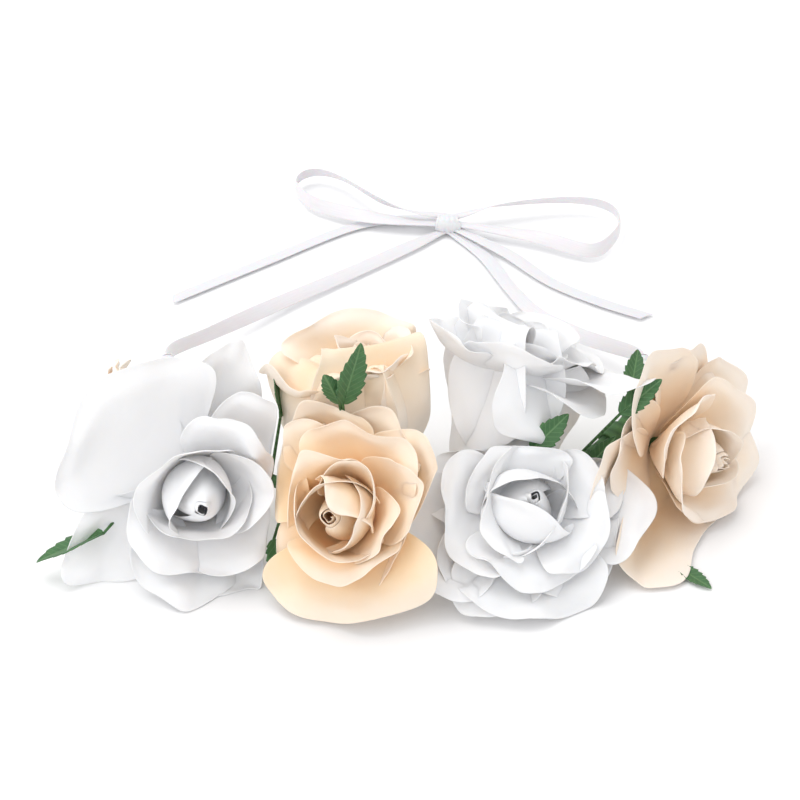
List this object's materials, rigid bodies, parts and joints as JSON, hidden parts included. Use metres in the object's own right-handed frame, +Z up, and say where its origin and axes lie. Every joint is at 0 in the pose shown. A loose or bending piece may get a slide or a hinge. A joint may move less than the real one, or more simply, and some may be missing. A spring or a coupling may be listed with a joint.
{
  "type": "flower crown",
  "caption": "Half-ring flower crown: fabric roses and leaves on a taped wire band, tied closed behind with a ribbon bow.",
  "frame": {"origin": "centre of the band's ring, on the surface the crown lies on", "axes": "+Z up through the head opening, -Y towards the roses, +Y towards the bow, +X to the wearer's left when worn with the roses in front"},
  "size_m": [0.2494, 0.2713, 0.084],
  "materials": {
    "wire": "semi-gloss lacquer",
    "floral_tape": "crepe, slightly waxy",
    "stem_wrap": "matt",
    "calyx_plastic": "moulded, low sheen",
    "leaf_cloth": "woven polyester, matt",
    "ribbon_satin": "satin, soft sheen",
    "white_petal_cloth": "fine woven polyester, matt",
    "peach_petal_cloth": "fine woven polyester, matt, deeper at the heart"
  },
  "bodies": {
    "band": {"band_wire": "wire", "band_tape": "floral_tape", "stem_bindings": "floral_tape", "rose_left_end_stem": "stem_wrap", "rose_left_white_stem": "stem_wrap", "rose_front_peach_stem": "stem_wrap", "rose_front_white_stem": "stem_wrap", "rose_right_peach_stem": "stem_wrap", "rose_top_peach_stem": "stem_wrap", "rose_top_white_stem": "stem_wrap", "leaf_far_left": "leaf_cloth", "leaf_top_fork": "leaf_cloth", "leaf_back_left": "leaf_cloth", "leaf_centre": "leaf_cloth", "leaf_right_long": "leaf_cloth", "leaf_right_short": "leaf_cloth", "leaf_right_end": "leaf_cloth", "leaf_low_right": "leaf_cloth", "leaf_low_front": "leaf_cloth"},
    "rose_left_end_head": {"rose_left_end_calyx": "calyx_plastic", "rose_left_end_outer_petals": "peach_petal_cloth", "rose_left_end_middle_petals": "peach_petal_cloth", "rose_left_end_inner_petals": "peach_petal_cloth", "rose_left_end_heart": "peach_petal_cloth"},
    "rose_left_white_head": {"rose_left_white_calyx": "calyx_plastic", "rose_left_white_outer_petals": "white_petal_cloth", "rose_left_white_middle_petals": "white_petal_cloth", "rose_left_white_inner_petals": "white_petal_cloth", "rose_left_white_heart": "white_petal_cloth"},
    "rose_front_peach_head": {"rose_front_peach_calyx": "calyx_plastic", "rose_front_peach_outer_petals": "peach_petal_cloth", "rose_front_peach_middle_petals": "peach_petal_cloth", "rose_front_peach_inner_petals": "peach_petal_cloth", "rose_front_peach_heart": "peach_petal_cloth"},
    "rose_front_white_head": {"rose_front_white_calyx": "calyx_plastic", "rose_front_white_outer_petals": "white_petal_cloth", "rose_front_white_middle_petals": "white_petal_cloth", "rose_front_white_inner_petals": "white_petal_cloth", "rose_front_white_heart": "white_petal_cloth"},
    "rose_right_peach_head": {"rose_right_peach_calyx": "calyx_plastic", "rose_right_peach_outer_petals": "peach_petal_cloth", "rose_right_peach_middle_petals": "peach_petal_cloth", "rose_right_peach_inner_petals": "peach_petal_cloth", "rose_right_peach_heart": "peach_petal_cloth"},
    "rose_top_peach_head": {"rose_top_peach_calyx": "calyx_plastic", "rose_top_peach_outer_petals": "peach_petal_cloth", "rose_top_peach_middle_petals": "peach_petal_cloth", "rose_top_peach_inner_petals": "peach_petal_cloth", "rose_top_peach_heart": "peach_petal_cloth"},
    "rose_top_white_head": {"rose_top_white_calyx": "calyx_plastic", "rose_top_white_outer_petals": "white_petal_cloth", "rose_top_white_middle_petals": "white_petal_cloth", "rose_top_white_inner_petals": "white_petal_cloth", "rose_top_white_heart": "white_petal_cloth"},
    "ribbon_tie": {"eyelet_ties": "ribbon_satin", "ribbon_left": "ribbon_satin", "ribbon_right": "ribbon_satin", "bow_knot": "ribbon_satin"}
  },
  "joints": [
    {"name": "rose_left_end_lift", "type": "hinge", "parent": "band", "child": "rose_left_end_head", "pos_m": [-0.096, -0.043, 0.0173], "axis": [-0.4088, 0.9126, 0], "range_deg": [0, 6]},
    {"name": "rose_left_white_lift", "type": "hinge", "parent": "band", "child": "rose_left_white_head", "pos_m": [-0.075, -0.084, 0.0235], "axis": [-0.7459, 0.666, 0], "range_deg": [0, 6]},
    {"name": "rose_front_peach_lift", "type": "hinge", "parent": "band", "child": "rose_front_peach_head", "pos_m": [-0.016, -0.103, 0.024], "axis": [-0.9881, 0.1535, 0], "range_deg": [0, 6]},
    {"name": "rose_front_white_lift", "type": "hinge", "parent": "band", "child": "rose_front_white_head", "pos_m": [0.039, -0.097, 0.012], "axis": [-0.9278, -0.373, 0], "range_deg": [0, 6]},
    {"name": "rose_right_peach_lift", "type": "hinge", "parent": "band", "child": "rose_right_peach_head", "pos_m": [0.083, -0.06, 0.0173], "axis": [-0.5858, -0.8104, 0], "range_deg": [0, 6]},
    {"name": "rose_top_peach_lift", "type": "hinge", "parent": "band", "child": "rose_top_peach_head", "pos_m": [-0.014, -0.073, 0.042], "axis": [-0.9821, 0.1884, 0], "range_deg": [0, 6]},
    {"name": "rose_top_white_lift", "type": "hinge", "parent": "band", "child": "rose_top_white_head", "pos_m": [0.036, -0.064, 0.042], "axis": [-0.8716, -0.4903, 0], "range_deg": [0, 6]},
    {"name": "ribbon_swing", "type": "hinge", "parent": "band", "child": "ribbon_tie", "pos_m": [0, -0.014, 0.016], "axis": [1, 0, 0], "range_deg": [0, 100]}
  ]
}
